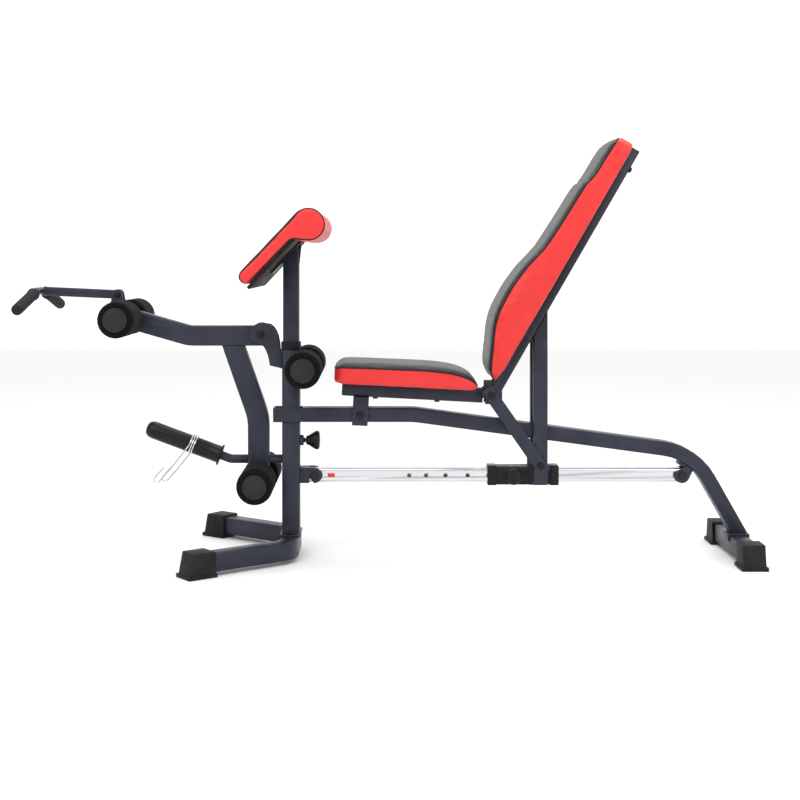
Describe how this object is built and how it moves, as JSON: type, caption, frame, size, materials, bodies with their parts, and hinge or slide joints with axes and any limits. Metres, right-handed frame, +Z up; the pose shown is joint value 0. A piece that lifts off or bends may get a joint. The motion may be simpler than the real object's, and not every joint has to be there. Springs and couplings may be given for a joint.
{
  "type": "adjustable weight bench",
  "caption": "Adjustable weight bench with a reclining backrest on a slider rail, a preacher curl pad, a leg lever with foam rollers and a curl handle.",
  "frame": {"origin": "on the floor, under the middle of the whole bench's box", "axes": "+X from the leg lever towards the head end of the backrest; +Z up; +Y completes the right-handed set, so the slider's pull pin is on the -Y side"},
  "size_m": [2.0248, 0.6744, 1.1797],
  "materials": {
    "frame_paint": "satin",
    "black_steel": "satin",
    "chrome": "polished",
    "black_plastic": "matte",
    "rubber": "matte",
    "foam": "matte",
    "red_vinyl": "satin"
  },
  "bodies": {
    "frame": {"front_foot_tube": "frame_paint", "front_foot_cap_left": "rubber", "front_foot_cap_right": "rubber", "rear_foot_tube": "frame_paint", "rear_foot_cap_left": "rubber", "rear_foot_cap_right": "rubber", "front_post": "frame_paint", "post_collar": "black_plastic", "main_beam": "frame_paint", "beam_clamp_bracket": "frame_paint", "rear_foot_plate": "frame_paint", "adjusting_rail": "chrome", "rail_front_bracket": "frame_paint", "rail_rear_bracket": "frame_paint", "lever_bracket": "frame_paint", "lever_pivot_bolt": "black_steel", "knee_axle_sleeve": "frame_paint", "seat_pivot_bolt": "black_steel"},
    "preacher": {"preacher_post": "frame_paint", "preacher_mount": "black_steel", "preacher_pad": "red_vinyl"},
    "post_pin": {"post_pull_pin": "black_plastic"},
    "lever": {"lever_arm": "frame_paint", "lever_leg": "frame_paint", "weight_bar": "frame_paint", "weight_sleeve": "black_plastic", "curl_clevis": "frame_paint", "curl_pivot_bolt": "black_steel"},
    "top_roller": {"top_roller_axle": "black_steel", "top_foam_left": "foam", "top_foam_right": "foam"},
    "ankle_roller": {"ankle_roller_axle": "black_steel", "ankle_foam_left": "foam", "ankle_foam_right": "foam"},
    "knee_roller": {"knee_roller_axle": "black_steel", "knee_foam_left": "foam", "knee_foam_right": "foam"},
    "clip": {"spring_clip": "chrome"},
    "curl_arm": {"curl_rod": "frame_paint"},
    "curl_bar": {"curl_handle": "frame_paint", "curl_grip_left": "rubber", "curl_grip_right": "rubber"},
    "seat": {"seat_tube": "frame_paint", "seat_bracket": "frame_paint", "seat_pad": "red_vinyl"},
    "slider": {"slider_sleeve": "black_steel", "slider_cap_front": "black_plastic", "slider_cap_rear": "black_plastic"},
    "slider_pin": {"slider_pull_pin": "black_plastic"},
    "backrest": {"backrest_rail_left": "frame_paint", "backrest_rail_right": "frame_paint", "backrest_brace_left": "frame_paint", "backrest_brace_right": "frame_paint", "recline_link_left": "frame_paint", "recline_link_right": "frame_paint", "recline_ears": "frame_paint", "recline_bolt": "black_steel", "slider_bolt": "black_steel", "backrest_cross_plate": "frame_paint", "backrest_pad": "red_vinyl"}
  },
  "joints": [
    {"name": "back_slide", "type": "slide", "parent": "frame", "child": "slider", "axis": [1, 0, 0], "range_m": [-0.2916, 0]},
    {"name": "backrest_pivot", "type": "hinge", "parent": "slider", "child": "backrest", "pos_m": [0.41939, 0, 0.259], "axis": [0, 1, 0], "range_deg": [-0.5, 73]},
    {"name": "seat_pivot", "type": "hinge", "parent": "frame", "child": "seat", "pos_m": [-0.08661, 0, 0.399], "axis": [0, 1, 0], "range_deg": [-0.2, 2.3]},
    {"name": "slider_pin_pull", "type": "slide", "parent": "slider", "child": "slider_pin", "axis": [0, -1, 0], "range_m": [0, 0.01], "stiffness_N_per_m": 1000, "springref_m": -0.008},
    {"name": "post_pin_pull", "type": "slide", "parent": "frame", "child": "post_pin", "axis": [1, 0, 0], "range_m": [0, 0.012], "stiffness_N_per_m": 1000, "springref_m": -0.01},
    {"name": "preacher_slide", "type": "slide", "parent": "frame", "child": "preacher", "axis": [0, 0, 1], "range_m": [0, 0.12]},
    {"name": "lever_pivot", "type": "hinge", "parent": "frame", "child": "lever", "pos_m": [-0.36761, 0, 0.6265], "axis": [0, 1, 0], "range_deg": [0, 45]},
    {"name": "top_roller_spin", "type": "hinge", "parent": "lever", "child": "top_roller", "pos_m": [-0.74845, 0, 0.67299], "axis": [0, 1, 0], "continuous": true},
    {"name": "ankle_roller_spin", "type": "hinge", "parent": "lever", "child": "ankle_roller", "pos_m": [-0.37161, 0, 0.221], "axis": [0, 1, 0], "continuous": true},
    {"name": "knee_roller_spin", "type": "hinge", "parent": "frame", "child": "knee_roller", "pos_m": [-0.24101, 0, 0.536], "axis": [0, 1, 0], "continuous": true},
    {"name": "clip_slide", "type": "slide", "parent": "lever", "child": "clip", "axis": [-0.9367, 0, 0.3502], "range_m": [-0.06, 0.1]},
    {"name": "curl_rod_pivot", "type": "hinge", "parent": "lever", "child": "curl_arm", "pos_m": [-0.77445, 0, 0.73849], "axis": [0, 1, 0], "range_deg": [0, 100]},
    {"name": "curl_bar_swivel", "type": "hinge", "parent": "curl_arm", "child": "curl_bar", "pos_m": [-0.77445, 0, 0.73849], "axis": [-0.999, 0, 0.0454], "range_deg": [-30, 30]}
  ],
  "couplings": [
    {"joint": "backrest_pivot", "follows": "back_slide", "rad_per_m": -4.3394},
    {"joint": "seat_pivot", "follows": "back_slide", "rad_per_m": -0.1251}
  ]
}
